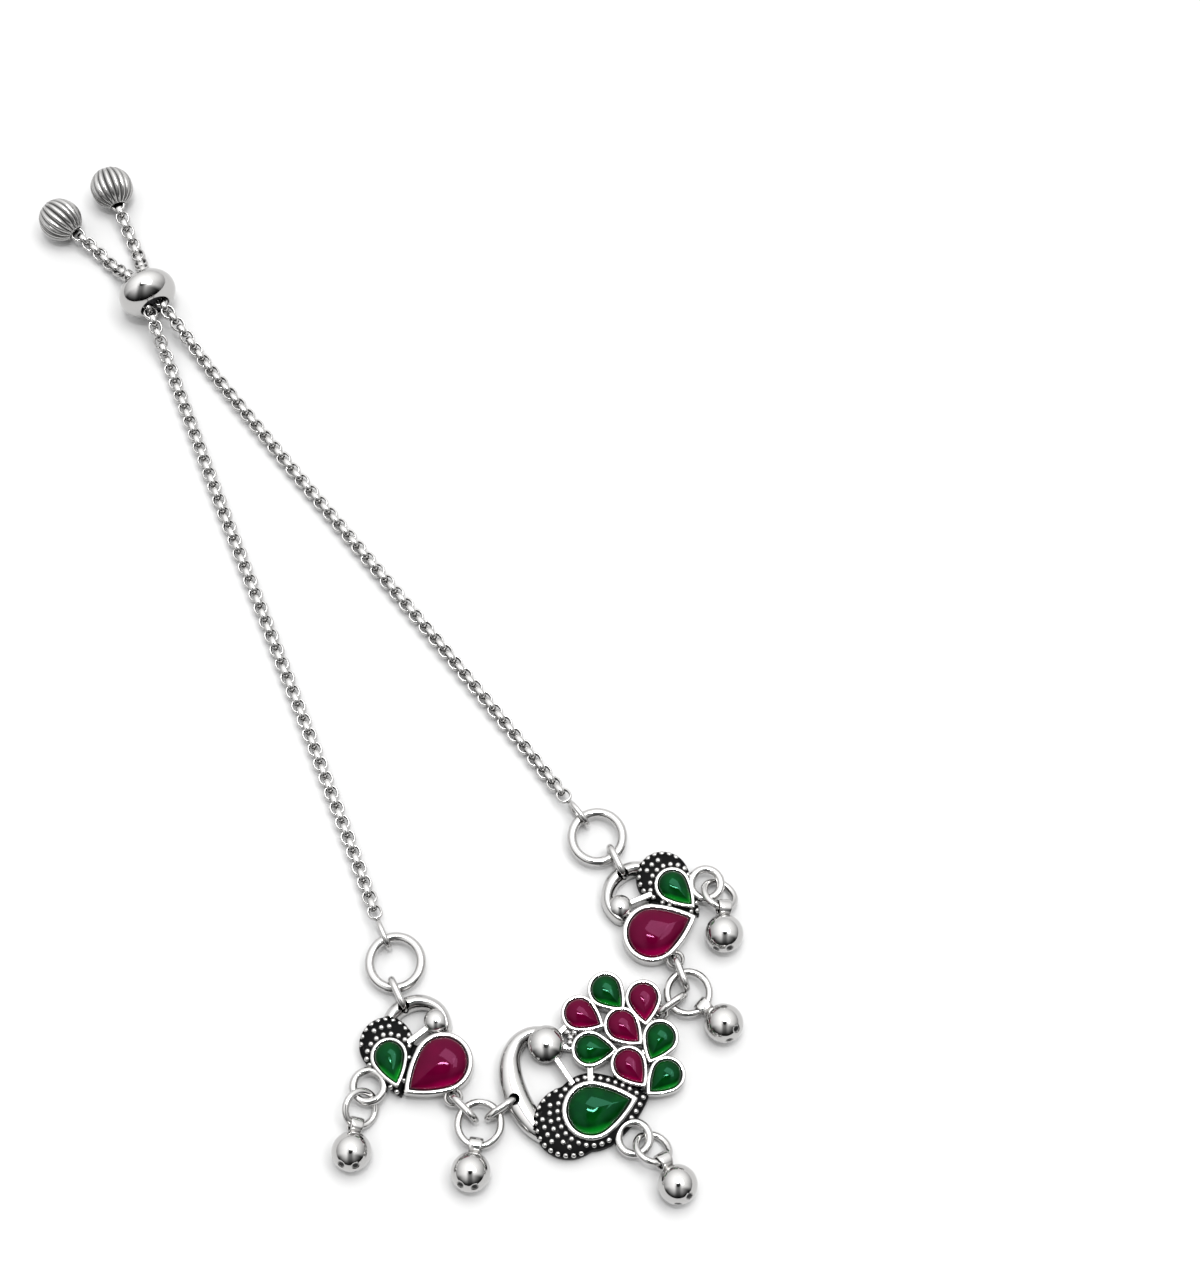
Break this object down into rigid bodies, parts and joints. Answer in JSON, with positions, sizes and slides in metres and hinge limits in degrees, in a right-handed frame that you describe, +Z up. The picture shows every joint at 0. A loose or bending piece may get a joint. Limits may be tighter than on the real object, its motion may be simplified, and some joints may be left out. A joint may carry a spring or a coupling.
{
  "type": "payal anklet",
  "caption": "Silver chain anklet with a granulated peacock charm set with green and ruby pear stones, small side charms, ball drops and a sliding bead closure.",
  "frame": {"origin": "on the table under the peacock charm's body, on the flat back of its casting", "axes": "+Y up the anklet from the charms to the slider, +X to the right seen from above, +Z up from the table"},
  "size_m": [0.0494, 0.1365, 0.0067],
  "materials": {
    "silver": "polished silver, oxidised black in the dotted grounds",
    "green_stone": "polished emerald green cabochon on a closed back",
    "ruby_stone": "polished magenta ruby cabochon on a closed back",
    "rubber": "matt black rubber"
  },
  "bodies": {
    "root": {"charm_centre": "silver", "centre_drop_ring": "silver", "centre_ball": "silver", "charm_left": "silver", "charm_right": "silver", "slider_bead": "silver", "left_centre_link": "silver", "left_connector_ring": "silver", "left_connector_ball": "silver", "left_charm_link": "silver", "left_drop_ring": "silver", "left_side_ball": "silver", "left_neck_link": "silver", "left_big_ring": "silver", "left_chain_end_link": "silver", "left_chain": "silver", "left_end_bead": "silver", "right_centre_link": "silver", "right_connector_ring": "silver", "right_connector_ball": "silver", "right_charm_link": "silver", "right_drop_ring": "silver", "right_side_ball": "silver", "right_neck_link": "silver", "right_big_ring": "silver", "right_chain_end_link": "silver", "right_chain": "silver", "right_end_bead": "silver", "big_stone": "green_stone", "tail_stone_1": "green_stone", "tail_stone_5": "green_stone", "tail_stone_6": "green_stone", "tail_stone_8": "green_stone", "left_green_stone": "green_stone", "right_green_stone": "green_stone", "tail_stone_2": "ruby_stone", "tail_stone_3": "ruby_stone", "tail_stone_4": "ruby_stone", "tail_stone_7": "ruby_stone", "left_ruby_stone": "ruby_stone", "right_ruby_stone": "ruby_stone", "slider_stopper": "rubber"}
  },
  "joints": []
}
